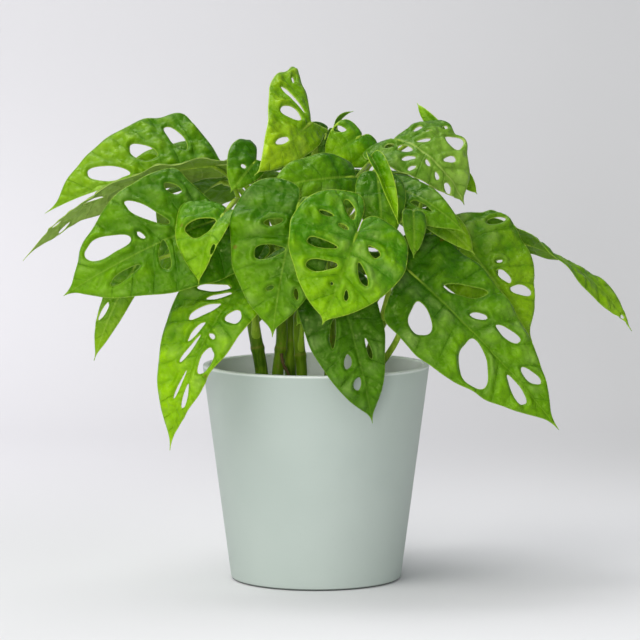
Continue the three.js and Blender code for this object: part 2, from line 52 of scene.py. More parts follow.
# The vines: radius and path, in the order in which they are built.
STEMS = {
    "left": (4.6, [(-36, -20, 112), (-38, -22, 148), (-43, -25, 178), (-50, -25, 227), (-50, -15, 262)]),
    "inner": (4.2, [(-28, -5, 112), (-27, -5, 146), (-24, -5, 176), (-34, -8, 240), (-40, -5, 280)]),
    "centre": (4, [(-17, 9, 112), (-18, 8, 175), (-11, 8, 218), (0, 8, 300)]),
    "front": (4, [(-10, -25, 112), (-10, -25, 148), (-12, -28, 182), (-4, -38, 221), (5, -45, 252)]),
    "right": (3.8, [(38, -22, 112), (38, -22, 150), (41, -20, 172), (55, -13, 200), (68, -3, 240)]),
    "back": (4.2, [(10, 32, 112), (10, 34, 160), (12, 36, 220), (18, 34, 270)]),
}
VINE = dict(steps=150, sides=20, first_joint=24.0, joint_gaps=(22, 34), joint_swell=0.55, taper=0.25)
AERIAL_ROOT = (1.1, [(-20, -14, 126), (-23, -16, 136), (-19, -14, 144), (-23, -11, 153), (-24.5, -8.5, 160)])

# A petiole: its radius, what that loses to the end, what the base and the joint add, and the radii of its
# ridge under the blade. A leaf whose halves are all narrower than `small_leaf` has all of that scaled.
PETIOLE = dict(radius=2.6, loss=1.0, base=1.2, joint=0.45, ridge=(1.4, 0.35), small_leaf=20, scale=0.72)

GRID = 1.3  # spacing of a blade's vertices
BORDER_STEP = 0.8  # spacing of the points that distances to the margin are taken from
BLADE_THICKNESS = 0.6
EDGE_THICKNESS = 0.3
VEIN_SPACING = 13
CROSS_SPACING = 11
VEIN_LEAN = (100, 70)  # degrees from the midrib to the side veins at the base, and how many fewer at the tip
VEIN_ARCH = 0.12  # how far a side vein bows to the tip, over the half width
LOBE_FAN = math.radians(26)  # the angle between the veins that fan out into a basal lobe
RELIEF = dict(swell=2.3, wave=1.6, slow=1.2, rim=0.95, uneven_rim=0.6, blister=0.62, fine=0.26)

# Half of a blade's outline: share of the length along the midrib (a share of the basal lobe's depth where it
# is negative, and past 1 at the drip tip), share of the half width across it, and how far a deep lobe pulls
# the point back.
OUTLINE = [
    (0, 0, 0), (-0.7, 0.06, 0), (-1, 0.34, 0), (-0.55, 0.7, 0.15), (0.08, 0.93, 0.45), (0.26, 1, 0.35),
    (0.45, 0.93, 0.26), (0.63, 0.74, 0.15), (0.8, 0.46, 0.05), (0.9, 0.21, 0), (0.95, 0.08, 0),
    (0.985, 0.03, 0), (1.03, 0, 0),
]
LEAST_NOTCH = 0.03  # half of the notch between the basal lobes, as a share of the half width
# Pairs of perforations for a `paired` leaf: along its length, across its half width, the hole's length over
# the half width and its width over the length of the blade.
PAIRED = [(0.08, 0.42, 0.5, 0.1), (0.3, 0.45, 0.55, 0.11), (0.52, 0.36, 0.42, 0.09)]


@dataclass
class Leaf:
    """A leaf's values. From `wide` on, a pair holds one value for each half, and a single number stands for
    both. A hole is (along, across, length, width), and the turn of its long axis from the midrib where it
    doesn't follow the side veins. A `paired` leaf takes its holes from PAIRED."""

    stem: str
    at: float  # how far up the vine the petiole leaves, 0 to 1
    via: tuple  # a point the petiole passes through
    base: tuple  # the blade's two ends
    tip: tuple
    face: tuple  # the way its upper face looks
    bow: float  # the arch of the midrib
    wide: tuple  # the width from the midrib to the margin
    tone: str = "mid"
    lobe: tuple = 0.1  # depth of the basal lobe over the length; below 0 the margin slopes forward instead
    fold: tuple = 0  # degrees that the half rises at the midrib
    curl: tuple = 10  # degrees that it bends down again to its margin
    taper: tuple = 0  # how much it narrows to the tip
    sinus: float = 0  # how far the notch between the lobes opens, or closes below 0
    twist: float = 0  # degrees that the blade turns about its midrib, from base to tip
    holes: list = ()
    paired: bool = False

    def __post_init__(self):
        for name in ("wide", "lobe", "fold", "curl", "taper"):
            value = getattr(self, name)
            setattr(self, name, value if isinstance(value, tuple) else (value, value))


HIDDEN = dict(lobe=0.2, fold=6, curl=15)  # for the leaves that the others hide
LEAVES = {
    "left_high": Leaf(
        "inner", 0.88, (-54, 3, 283), (-66, 4, 293), (-186, -15, 261), (0, -0.75, 0.65), 12, (51, 17),
        tone="bright", lobe=(-0.1, 0.14), fold=(8, 48), curl=(20, 0), taper=(0.12, 0),
        holes=[(27, 26, 24, 10, 70), (53, 18, 22, 12, 40), (81, 9, 30, 12, 25)],
    ),
    "left_narrow": Leaf(
        "left", 0.97, (-60, -22, 284), (-69, -32, 294), (-199, -50, 232), (-0.35, 0.42, 0.85), 16, (19, 20),
        tone="olive", fold=-5, taper=(-0.4, 0),
        holes=[(90, -4, 20, 4, 40), (120, -5, 8, 6, 20), (116, 8, 11, 4, 0)],
    ),
    "left_broad": Leaf(
        "left", 0.9, (-60, -40, 258), (-62, -66, 260), (-169, -82, 209), (-0.15, -0.95, 0.28), 14, (48, 41),
        lobe=(-0.12, 0.2), fold=(4, 6),
        holes=[
            (26, 31, 13, 7, 45), (50, 23, 33, 9, 50), (84, 14, 33, 14, 10), (60, 10, 7, 3),
            (52, -10, 20, 8), (82, -10, 24, 6, 5),
        ],
    ),
    "left_small": Leaf(
        "left", 0.95, (-54, -46, 270), (-62, -84, 264), (-79, -99, 218), (-0.4, -0.93, 0.2), 9, (33, 9),
        tone="lime", lobe=(0.15, 0.1), fold=8, curl=(15, 10), taper=(0.3, -0.15),
        holes=[(18, 9, 20, 14, 50), (31, -6, 8, 3, 0)],
    ),
    "left_hanging": Leaf(
        "left", 0.45, (-42, -46, 212), (-37, -60, 229), (-99, -88, 106), (-0.4, -0.85, 0.35), 22, (39, 28),
        tone="lime", lobe=(0.12, 0.18), fold=5, curl=15, taper=(0, 0.35),
        holes=[
            (35, 15, 24, 6, 65), (40, 8, 17, 4, 50), (54, 11, 24, 6, 40), (50, -11, 12, 10, 110),
            (69, 9, 17, 4, 20), (68, -4, 6, 3), (82, 7, 22, 3, 12), (85, -8, 20, 9, 0), (107, 4, 20, 2, 5),
            (113, -3, 16, 4, 5),
        ],
    ),
    "centre_left": Leaf(
        "front", 0.85, (-4, -70, 260), (-11, -96, 273), (-29, -108, 184), (-0.25, -0.95, 0.1), 8, (43, 31),
        lobe=(0.14, 0.05), fold=(8, -12), curl=15,
        holes=[(19, 13, 12, 5, 70), (39, 12, 20, 10), (63, 6, 6, 3), (64, -12, 8, 3, 15)],
    ),
    "centre_heart": Leaf(
        "front", 0.98, (18, -88, 250), (28, -112, 253), (5, -130, 194), (0.05, -1, 0.15), 5, (45, 39),
        tone="lime", lobe=(0.46, 0.24), fold=6, curl=14, sinus=-0.22,
        holes=[
            (18, 20, 20, 6), (1, 10, 7, 3), (-4, 24, 10, 3, 90), (-14, 10, 17, 6, 145),
            (10, -15, 10, 6, 65), (28, -13, 16, 5, 40), (32, 15, 21, 8), (41, 4, 2, 2), (45, -8, 7, 3, 20),
        ],
    ),
    "front_hanging": Leaf(
        "front", 0.62, (8, -62, 212), (15, -82, 215), (38, -95, 124), (0.1, -0.97, 0.2), 12, (32, 23),
        tone="deep", lobe=(0.08, 0.1), fold=8, curl=20,
        holes=[(34, 13, 20, 4, 20), (55, 8, 10, 5, 20), (71, 5, 9, 5, 20), (50, -8, 14, 3, 5)],
    ),
    "top": Leaf(
        "centre", 0.97, (-1, -4, 312), (-3, -14, 323), (-41, -56, 289), (0.15, -0.95, 0.25), 4, (48, 16),
        tone="sunlit", lobe=(0.65, 0.2), fold=(0, -20), curl=(10, 0), taper=(0.8, 0), sinus=0.7,
        holes=[(-5, 21, 24, 4), (9, 14, 17, 9, 70), (33, 4, 11, 5, 20), (-23, 31, 8, 2, 155)],
    ),
    "top_round": Leaf(
        "centre", 0.9, (18, 4, 307), (32, -2, 313), (6, -8, 296), (0.2, -0.9, 0.4), 4, (17, 22),
        tone="lime", lobe=(0.05, 0.28), curl=(10, 30),
        holes=[(11, 12, 9, 5, 43)],
    ),
    "top_dark": Leaf(
        "centre", 0.8, (6, 22, 308), (8, 26, 315), (-6, 14, 284), (0.2, -0.9, 0.4), 4, (15, 16),
        tone="deep", lobe=0.15,
    ),
    "crown_small": Leaf(
        "inner", 0.97, (-40, -22, 290), (-41, -44, 298), (-58, -60, 277), (0, -1, 0.1), 3, (20, 10),
        lobe=(0.7, 0.1), curl=(10, 0), sinus=0.45,
        holes=[(12, 4, 4, 3, 90)],
    ),
    "crown_mid": Leaf(
        "centre", 0.72, (16, -34, 278), (27, -58, 287), (-32, -80, 280), (0, -0.9, 0.4), 5, (16, 21),
        lobe=(0.02, 0.08), curl=(15, 10), taper=(-0.8, -0.4),
        holes=[(49, -4, 3, 2, 165), (45, -9, 2, 2, 166)],
    ),
    "right_high": Leaf(
        "back", 0.88, (38, 14, 292), (54, -14, 311), (102, -34, 268), (0.1, -0.8, 0.6), 15, (29, 38),
        tone="painted_glare", lobe=(0.22, 0), fold=6, curl=(0, 38), taper=(0.2, 0),
        holes=[
            (7, 10, 7, 6), (18, 6, 11, 7, 170), (27, 12, 10, 4, 121), (38, 5, 6, 3, 34),
            (38, -24, 14, 12, 30), (9, -16, 8, 5), (19, -17, 5, 3, 66), (22, -31, 6, 3, 98),
            (23, -8, 9, 3, 50), (46, -10, 9, 5), (34, 17, 6, 3, 104), (49, 7, 6, 3, 30), (60, 6, 8, 5, 19),
        ],
    ),
    "right_long": Leaf(
        "back", 0.8, (40, 2, 270), (46, -49, 282), (101, -76, 250), (0.15, -0.75, 0.6), 8, (24, 14),
        lobe=(0.15, 0),
        holes=[(13, 4, 8, 3, 170), (20, 9, 8, 3, 170), (37, 5, 17, 4, 175)],
    ),
    "right_broad": Leaf(
        "right", 0.2, (58, -48, 179), (61, -75, 226), (162, -100, 121), (0.25, -0.9, 0.35), 8, (41, 38),
        lobe=(-0.08, 0.12), fold=6, curl=(15, 10),
        holes=[
            (34, 21, 25, 15, 45), (81, 16, 33, 21, 35), (114, 6, 22, 8, 10), (40, -17, 28, 9, 40),
            (59, -11, 12, 5, 40), (82, -17, 20, 7, 10), (113, -9, 17, 7, 15),
        ],
    ),
    "right_shoulder": Leaf(
        "right", 0.85, (72, -16, 248), (86, -30, 256), (148, -50, 175), (0.3, -0.9, 0.3), 10, (32, 40),
        tone="bright", lobe=(0.15, -0.13), curl=(15, 10),
        holes=[(24, -31, 14, 6, 65), (50, -12, 5, 2), (60, -8, 12, 6, 15), (75, -13, 17, 7)],
    ),
    "right_far": Leaf(
        "right", 0.72, (96, 8, 232), (128, 0, 242), (220, -10, 179), (0.55, -0.15, 0.83), 13, (22, 18),
        tone="bright", twist=-100,
        holes=[(107, 1, 3, 3)],
    ),
    "new_rolled": Leaf(
        "back", 0.98, (34, -34, 292), (38, -80, 301), (55, -106, 259), (0.3, -0.9, 0.3), 3, 9,
        tone="lime", lobe=0.05, fold=50, curl=0,
    ),
    "inner_right": Leaf(
        "back", 0.66, (24, -62, 257), (42, -76, 288), (45, -98, 238), (0.1, -0.95, 0.3), 4, (16, 18),
        curl=15,
    ),
    "right_tip": Leaf(
        "right", 0.97, (80, 6, 276), (102, 8, 288), (113, 4, 272), (0.1, -0.9, 0.4), 2, (8, 4),
        tone="lime",
    ),
    "right_small": Leaf(
        "front", 0.93, (44, -74, 252), (66, -88, 265), (66, -97, 235), (0.1, -0.95, 0.3), 3, 9,
        lobe=0.05, fold=(15, -10), taper=(0.3, 0),
    ),
    "right_inner": Leaf(
        "right", 0.6, (60, -42, 240), (76, -60, 261), (108, -66, 235), (0.2, -0.9, 0.4), 4, (9, 13),
        tone="bright", lobe=(0.05, 0.1), fold=6,
    ),
    "left_pendant": Leaf(
        "left", 0.6, (-86, -34, 232), (-124, -30, 226), (-153, -45, 161), (-0.4, -0.9, 0.2), 5, (13, 11),
        tone="bright",
        holes=[(41, 6, 14, 4, 10)],
    ),
    "inner_small": Leaf(
        "front", 0.35, (-8, -46, 198), (-4, -62, 206), (-13, -68, 186), (0.4, -0.9, 0), 2, 9,
        fold=20, curl=0,
    ),
    "back_crown": Leaf(
        "centre", 0.68, (0, 28, 300), (13, 40, 313), (26, 52, 328), (-0.6, 0.4, 0.7), 3, 5,
        fold=20, curl=0,
    ),
    "back_point": Leaf(
        "back", 0.95, (60, 30, 302), (88, 22, 316), (72, 32, 334), (-0.3, -0.9, 0.1), 3, (4, 5),
        tone="lime", curl=0,
    ),
    "left_behind": Leaf(
        "inner", 0.81, (-56, 20, 285), (-82, 24, 297), (-134, 20, 291), (-0.1, -0.8, 0.6), 3, (14, 12),
        tone="lime", curl=15,
    ),
    "mid_left": Leaf(
        "inner", 0.62, (-64, 4, 243), (-93, 14, 244), (-116, 24, 206), (-0.6, -0.6, 0.5), 5, (18, 16),
        **HIDDEN,
    ),
    "back_left": Leaf(
        "inner", 0.75, (-52, 18, 272), (-66, 40, 280), (-108, 108, 222), (-0.4, 0.6, 0.7), 10, 34,
        **HIDDEN,
        holes=[(30, -16, 19, 9), (52, 13, 15, 8), (52, -13, 15, 8)],
    ),
    "back_centre": Leaf(
        "back", 0.62, (0, 50, 274), (-10, 62, 286), (-20, 145, 215), (0, 0.6, 0.8), 12, 29,
        tone="bright", **HIDDEN, paired=True,
    ),
    "back_right": Leaf(
        "back", 0.82, (36, 50, 274), (48, 58, 280), (90, 125, 215), (0.4, 0.6, 0.7), 10, (32, 34),
        **HIDDEN, paired=True,
    ),
    "back_low_left": Leaf(
        "centre", 0.4, (-26, 42, 226), (-30, 66, 232), (-45, 122, 165), (-0.2, 0.75, 0.6), 10, 30,
        tone="deep", **HIDDEN, paired=True,
    ),
    "back_low_right": Leaf(
        "back", 0.45, (22, 54, 218), (28, 72, 230), (28, 122, 168), (0.2, 0.75, 0.6), 10, 30,
        tone="deep", **HIDDEN, paired=True,
    ),
    "back_side": Leaf(
        "right", 0.6, (76, 16, 244), (88, 26, 254), (126, 66, 196), (0.7, 0.5, 0.5), 8, 30,
        **HIDDEN, paired=True,
    ),
}

# Leaf colours: the darker and the lighter end of a blade's colour ramp, which paints shade in the valleys
# between the swellings; the margin and pale veins; the underside; then how pale the midrib is.
TONES = {
    "lime": ((68, 134, 0), (160, 214, 4), (190, 222, 70), (158, 192, 60), 0.1),
    "sunlit": ((112, 164, 4), (196, 232, 30), (208, 234, 100), (180, 206, 86), 0.1),
    "bright": ((68, 126, 2), (148, 194, 18), (172, 208, 74), (146, 178, 62), 0.35),
    "mid": ((50, 110, 0), (118, 174, 8), (156, 196, 60), (130, 164, 54), 0.35),
    "deep": ((34, 86, 0), (84, 140, 8), (130, 172, 58), (116, 150, 54), 0.25),
    "olive": ((108, 146, 20), (174, 202, 84), (194, 214, 116), (176, 202, 106), 0.5),
    # A pale, greyish tone that paints glare from above over the whole leaf.
    "painted_glare": ((80, 132, 18), (152, 194, 70), (194, 218, 112), (156, 188, 84), 0.5),
}
LIGHT_THROUGH = (176, 216, 0)  # the colour a blade gives to light passing through it
THINNESS = 0.34  # how much of a blade's look is light passing through it
# Painted sheen: a pale highlight colour laid over some swellings.
PAINTED_SHEEN = (178, 200, 128)  # pale sheen on the swellings
SCAR = (122, 92, 30)  # rare small spots
GLOSS = (0.86, 1.0, 0.34, 1.0)  # tint of the shine on leaves and stalks, as linear RGBA

# The stage, the lights and the camera, in metres and watts.
STAGE = dict(reach=6.0, half_width=2.2, start=0.8, bend=0.8, height=0.45, steps=24)
LIGHTS = {
    "key": dict(place=(-1.4, -1.4, 1.75), size=2.4, power=40, colour=(1.0, 0.99, 0.97)),
    "fill": dict(place=(1.9, -1.5, 0.9), size=1.6, power=3, colour=(0.97, 0.98, 1.0)),
    "front": dict(place=(-0.22, -2.35, 0.48), target=(0.0, 0.0, 0.15), size=0.45, power=16),
    "top": dict(place=(-0.5, 0.4, 2.0), size=1.5, power=23),
}
PLANT_MIDDLE = (0.0, 0.0, 0.2)
SKY = dict(colour=(0.93, 0.95, 1.0, 1), strength=0.36)
CAMERA = dict(place=(0.0028, -2.4, 0.41), target=(0.0028, 0.0, 0.183), focal_pixels=3421, picture_width=640)
SENSOR_WIDTH = 36


def linear(colour):
    """A 0 to 255 screen colour as linear RGBA."""
    def channel(value):
        share = value / 255
        return share / 12.92 if share <= 0.04045 else ((share + 0.055) / 1.055) ** 2.4
    return (*(channel(value) for value in colour), 1)


def smooth_step(value, low, high):
    share = np.clip((value - low) / (high - low), 0, 1)
    return share * share * (3 - 2 * share)


def ripple(x, y, wavelength, seed):
    """Smooth seeded irregularity between about -1 and 1: a few plane waves in random directions."""
    random = np.random.default_rng(seed)
    total = np.zeros(np.shape(x))
    waves = 6
    for _ in range(waves):
        turn = random.uniform(0, 2 * math.pi)
        pace = 2 * math.pi / (wavelength * random.uniform(0.7, 1.5))
        start = random.uniform(0, 2 * math.pi)
        total = total + np.sin((x * math.cos(turn) + y * math.sin(turn)) * pace + start)
    return total / math.sqrt(2 * waves)


def spline(points, count):
    """Points along a centripetal Catmull-Rom curve through the given points."""
    points = [np.array(point, float) for point in points]
    ends = [2 * points[0] - points[1], *points, 2 * points[-1] - points[-2]]
    made = []
    for share in np.linspace(0, len(points) - 1, count):
        index = min(int(share), len(points) - 2)
        row = ends[index:index + 4]
        knots = [0.0]
        for a, b in zip(row, row[1:]):
            knots.append(knots[-1] + max(np.linalg.norm(b - a), 1e-4) ** 0.5)
        t = knots[1] + (knots[2] - knots[1]) * (share - index)
        for reach in (1, 2):
            row = [between(t, knots[k], knots[k + reach], row[k], row[k + 1]) for k in range(4 - reach)]
        made.append(between(t, knots[1], knots[2], *row))
    return np.array(made)


def between(t, low, high, a, b):
    """The point between a and b that lies where t lies between low and high."""
    return ((high - t) * a + (t - low) * b) / (high - low)


def turns(count):
    """Angles spaced evenly round a circle."""
    return np.linspace(0, 2 * math.pi, count, endpoint=False)


# ---------------- mesh tools


def link(name, data):
    """A new object in the scene."""
    thing = bpy.data.objects.new(name, data)
    bpy.context.scene.collection.objects.link(thing)
    return thing


def smooth_mesh(name, vertices, faces, materials):
    mesh = bpy.data.meshes.new(name)
    mesh.from_pydata(vertices, [], faces)
    mesh.polygons.foreach_set("use_smooth", [True] * len(faces))
    for material in materials:
        mesh.materials.append(material)
    return mesh


class Shape:
    """Vertices in millimetres, faces with a material number, and named numbers per vertex."""

    def __init__(self):
        self.vertices = []
        self.faces = []
        self.materials = []
        self.values = {}

    def add(self, vertices, faces, material, **values):
        start = len(self.vertices)
        self.vertices.extend(map(tuple, vertices))
        self.faces.extend(tuple(start + i for i in face) for face in faces)
        self.materials.extend([material] * len(faces))
        for name in {**self.values, **values}:
            held = self.values.setdefault(name, [0.0] * start)
            held.extend(np.broadcast_to(values.get(name, 0.0), len(vertices)).tolist())

    def build(self, node, materials):
        """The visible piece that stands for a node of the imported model."""
        name = f"{node}_fine"
        mesh = smooth_mesh(name, (np.array(self.vertices) * MM).tolist(), self.faces, materials)
        mesh.polygons.foreach_set("material_index", self.materials)
        for key, numbers in self.values.items():
            mesh.attributes.new(key, "FLOAT", "POINT").data.foreach_set("value", numbers)
        mesh.validate()
        piece = link(name, mesh)
        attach(piece, "root")
        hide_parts(node)


def make_single(node, material, slot, vertices, faces, **values):
    """A piece of one part and one material."""
    shape = Shape()
    shape.add(vertices, faces, 0, **values)
    shape.build(node, [material])


def ring_faces(rings, sides, closed_ends=True):
    """Quads between successive rings of vertices, with one polygon over each end."""
    faces = []
    for ring in range(rings - 1):
        for side in range(sides):
            a = ring * sides + side
            b = ring * sides + (side + 1) % sides
            faces.append((a, b, b + sides, a + sides))
    if closed_ends:
        faces.append(tuple(range(sides - 1, -1, -1)))
        faces.append(tuple(range((rings - 1) * sides, rings * sides)))
    return faces


def tube(points, radii, sides=14):
    """Rings of vertices round a line, kept from twisting by carrying one frame along it."""
    points = np.array(points, float)
    heading = np.gradient(points, axis=0)
    heading /= np.linalg.norm(heading, axis=1)[:, None]
    start = np.array((0.0, 1.0, 0.0)) if abs(heading[0][1]) < 0.9 else np.array((1.0, 0.0, 0.0))
    normal = np.cross(heading[0], start)
    cosine, sine = np.cos(turns(sides))[:, None], np.sin(turns(sides))[:, None]
    rings = []
    for point, ahead, radius in zip(points, heading, radii):
        normal = normal - ahead * np.dot(normal, ahead)
        normal /= np.linalg.norm(normal)
        rings.append(point + radius * (cosine * normal + sine * np.cross(ahead, normal)))
    return np.vstack(rings), ring_faces(len(points), sides)


# ---------------- materials


class Signal:
    """A number, place or colour inside a material. Sums, products and spans of signals become nodes."""

    def __init__(self, recipe, socket):
        self.recipe = recipe
        self.socket = socket

    def __add__(self, other):
        return self.recipe.math("ADD", self, other)

    def __sub__(self, other):
        return self.recipe.math("SUBTRACT", self, other)

    def __mul__(self, other):
        return self.recipe.math("MULTIPLY", self, other)

    def span(self, low, high, to_low=0.0, to_high=1.0, kind="SMOOTHSTEP"):
        """Its place between low and high, as a number from to_low to to_high."""
        inputs = {"Value": self, "From Min": low, "From Max": high, "To Min": to_low, "To Max": to_high}
        return self.recipe.add("ShaderNodeMapRange", "Result", inputs, interpolation_type=kind)

    def stretch(self, factors):
        inputs = {0: self, 1: factors}
        return self.recipe.add("ShaderNodeVectorMath", "Vector", inputs, operation="MULTIPLY")


class Recipe:
    """A material being built from nodes."""

    def __init__(self, name):
        self.material = bpy.data.materials.new(name)
        self.material.use_nodes = True
        self.tree = self.material.node_tree
        self.tree.nodes.clear()

    def add(self, kind, output, inputs=None, **settings):
        """A new node, by the output that is wanted of it. Inputs are signals or plain values."""
        node = self.tree.nodes.new(kind)
        for key, value in settings.items():
            setattr(node, key, value)
        for key, value in (inputs or {}).items():
            if isinstance(value, Signal):
                self.tree.links.new(value.socket, node.inputs[key])
            elif value is not None:
                node.inputs[key].default_value = value
        return Signal(self, node.outputs[output])

    def math(self, operation, *values):
        return self.add("ShaderNodeMath", "Value", dict(enumerate(values)), operation=operation)

    def number(self, name):
        """A number that the mesh holds for each vertex."""
        return self.add("ShaderNodeAttribute", "Fac", attribute_name=name)

    def position(self):
        return self.add("ShaderNodeTexCoord", "Object")

    def split(self, place):
        node = self.add("ShaderNodeSeparateXYZ", "X", {0: place}).socket.node
        return [Signal(self, output) for output in node.outputs]

    def noise(self, place, scale, detail=3.0, roughness=0.5):
        """Smooth unevenness, with about `scale` patches to one unit of place."""
        inputs = {"Vector": place, "Scale": scale, "Detail": detail, "Roughness": roughness}
        return self.add("ShaderNodeTexNoise", "Fac", inputs)

    def cells(self, place, scale, feature="F1"):
        """Distances in a pattern of uneven cells."""
        inputs = {"Vector": place, "Scale": scale}
        return self.add("ShaderNodeTexVoronoi", "Distance", inputs, feature=feature)

    def blend(self, share, a, b):
        """From colour a to colour b. A tuple is a screen colour."""
        a, b = (linear(colour) if isinstance(colour, tuple) else colour for colour in (a, b))
        return self.add("ShaderNodeMix", "Result", {"Factor": share, "A": a, "B": b}, data_type="RGBA")

    def bump(self, height, distance=MM, strength=1.0):
        inputs = {"Height": height, "Distance": distance, "Strength": strength}
        return self.add("ShaderNodeBump", "Normal", inputs)

    def shader(self, colour, roughness, specular, normal=None, tint=None):
        inputs = {"Base Color": colour, "Roughness": roughness, "Specular IOR Level": specular}
        inputs.update({"Normal": normal, "Specular Tint": tint})
        return self.add("ShaderNodeBsdfPrincipled", "BSDF", inputs)

    def surface(self, shader):
        output = self.tree.nodes.new("ShaderNodeOutputMaterial")
        self.tree.links.new(shader.socket, output.inputs["Surface"])
        return self.material


def blade_material(tone, underside):
    """A leaf's skin: on the upper side painted shade along the sunken veins and a painted pale sheen on
    some swellings; on both sides painted shade in the valleys between the swellings, and a thin pale
    margin. Places in it are millimetres on the flat blade."""
    dark, light, pale, under, rib_share = TONES[tone]
    recipe = Recipe(f"leaf_{tone}_{'under' if underside else 'upper'}")
    names = ("along", "across", "edge", "seed", "swell", "share", "phase", "spacing")
    along, across, edge, seed, swell, share, phase, spacing = map(recipe.number, names)
    flat = recipe.add("ShaderNodeCombineXYZ", "Vector", {0: along, 1: across, 2: seed})
    fine = recipe.noise(flat, 0.16, 4.0, 0.6)
    pucker = recipe.cells(flat, 0.24, "SMOOTH_F1")
    net = recipe.cells(flat, 0.24, "DISTANCE_TO_EDGE").span(0.12, 0.0)
    gap = recipe.math("PINGPONG", phase, 0.5) * spacing + (recipe.noise(flat, 0.35) * 0.6 - 0.3)
    vein = recipe.math("ABSOLUTE", gap).span(0.7, 0.1)
    vein = vein * recipe.noise(flat, 0.07, 1.0).span(0.35, 0.65, 0.1)
    rib_half = along.span(0, 110, 1.3, 0.4, "LINEAR")
    rib = recipe.math("DIVIDE", recipe.math("ABSOLUTE", across), rib_half).span(1.0, 0.45)
    broad = recipe.noise(flat, 0.028, 2.0).span(0.3, 0.7)
    # Painted shade: swell and pucker darken the valleys between the swellings and the edges of the pucker
    # cells; broad and fine vary the tone at random, and share lightens it towards the tip.
    fresh = broad * 0.36 + swell * 0.35 + share * 0.95 + fine * 0.3 - pucker * 0.4 - 0.32
    fresh = recipe.add("ShaderNodeClamp", "Result", {"Value": fresh})
    colour = recipe.blend(fresh, dark, under if underside else light)
    if underside:
        raised, roughness, specular, rib_share = 1, (0.5, 0.62), 0.2, 0.6
        colour = recipe.blend(0.6, colour, under)
        colour = recipe.blend(along.span(75, 10, 0.0, 0.65), colour, dark)
        colour = recipe.blend(vein * 0.35, colour, pale)
    else:
        raised, roughness, specular = -1, (0.25, 0.4), 0.42
        # Painted shade: darker along the sunken veins.
        colour = recipe.blend(vein * 0.34, colour, dark)
        # Painted sheen: pale highlight patches on the swellings.
        sheen = recipe.noise(flat, 0.035, 2.0).span(0.48, 0.72, 0.0, 0.24)
        colour = recipe.blend(sheen * swell.span(0.1, 0.7, 0.15), colour, PAINTED_SHEEN)
    colour = recipe.blend(net * 0.05, colour, pale)
    colour = recipe.blend(rib * rib_share, colour, pale)
    colour = recipe.blend(edge.span(0.75, 0.2, 0.0, 0.75), colour, pale)
    rare = recipe.math("GREATER_THAN", recipe.noise(flat, 0.02, 0.0), 0.66)
    spot = recipe.cells(flat, 0.035).span(0.07, 0.04)
    colour = recipe.blend(spot * rare * 0.6, colour, SCAR)
    normal = recipe.bump((vein * 0.35 + net * 0.1 + pucker * 1.2) * raised + fine * 0.6)
    skin = recipe.shader(colour, fine.span(0.3, 0.7, *roughness), specular, normal, GLOSS)
    through = {"Color": recipe.blend(0.5, colour, LIGHT_THROUGH), "Normal": normal}
    glow = recipe.add("ShaderNodeBsdfTranslucent", "BSDF", through)
    return recipe.surface(recipe.add("ShaderNodeMixShader", "Shader", {0: THINNESS, 1: skin, 2: glow}))


def stalk_material(name, dark, light, mark):
    """Petioles and vines: smooth green with long pale streaks and small brown flecks."""
    recipe = Recipe(name)
    place = recipe.position()
    streak = recipe.noise(place.stretch((1.0, 1.0, 0.16)), 420.0, 4.0, 0.6)
    broad = recipe.noise(place, 30.0, 2.0)
    fresh = broad.span(0.3, 0.7, 0.0, 0.7) + streak.span(0.45, 0.65, 0.0, 0.35)
    fleck = recipe.noise(place, 260.0, 3.0, 0.7).span(0.62, 0.72, 0.0, 0.7)
    colour = recipe.blend(fleck, recipe.blend(fresh, dark, light), mark)
    colour = recipe.blend(recipe.number("mark") * 0.45, colour, mark)
    normal = recipe.bump(streak * 0.3 + fleck * 0.1)
    return recipe.surface(recipe.shader(colour, streak.span(0.3, 0.7, 0.4, 0.58), 0.3, normal, GLOSS))


def glaze_material():
    """The pot's matte sage glaze: clouding, fine grain, a painted highlight at the lip, painted light on the
    inside, and a painted contact shadow as a dark line at the foot.
    """
    top, wall = POT["height"], POT["wall"] * MM
    recipe = Recipe("pot_glaze")
    place = recipe.position()
    x, y, height = recipe.split(place)
    cloud = recipe.noise(place, 9.0)
    speck = recipe.cells(place, 260.0).span(0.16, 0.08, 0.0, 0.25)
    # Painted highlight: a pale band along the top of the lip.
    lip = height.span((top - 2.2) * MM, (top - 0.6) * MM, 0.0, 0.85)
    outer_radius = height * wall_slope() + POT["base_radius"] * MM
    # Painted light: the inside of the wall is made almost white.
    inside = (outer_radius - recipe.math("SQRT", x * x + y * y)).span(0.5 * wall, 0.9 * wall)
    # Painted contact shadow: a dark line at the foot where the pot meets the floor.
    foot = height.span(1.8 * MM, 0.8 * MM, 0.0, 0.85)
    colour = recipe.blend(cloud.span(0.3, 0.7), (174, 186, 178), (181, 192, 184))
    colour = recipe.blend(speck, colour, (168, 180, 170))
    colour = recipe.blend(lip, colour, (238, 243, 239))
    colour = recipe.blend(inside, colour, (238, 244, 240))
    colour = recipe.blend(foot, colour, (52, 58, 54))
    grain = recipe.noise(place, 900.0, 2.0)
    hand = recipe.noise(place.stretch((1.0, 1.0, 5.0)), 22.0, 2.0)
    normal = recipe.bump(grain * 0.05 + hand * 0.25, strength=0.6)
    return recipe.surface(recipe.shader(colour, cloud.span(0.3, 0.7, 0.5, 0.6), 0.45, normal))


def soil_material():
    """Moist potting mix: dark crumbs with browner fibres."""
    recipe = Recipe("soil")
    place = recipe.position()
    crumbs = recipe.cells(place, 420.0)
    shade = recipe.noise(place, 120.0, 5.0, 0.65)
    colour = recipe.blend(shade.span(0.35, 0.65), (30, 21, 15), (74, 54, 38))
    colour = recipe.blend(crumbs * 0.4, colour, (52, 38, 28))
    normal = recipe.bump(shade + crumbs * 0.6, 1.2 * MM)
    return recipe.surface(recipe.shader(colour, 0.92, 0.3, normal))


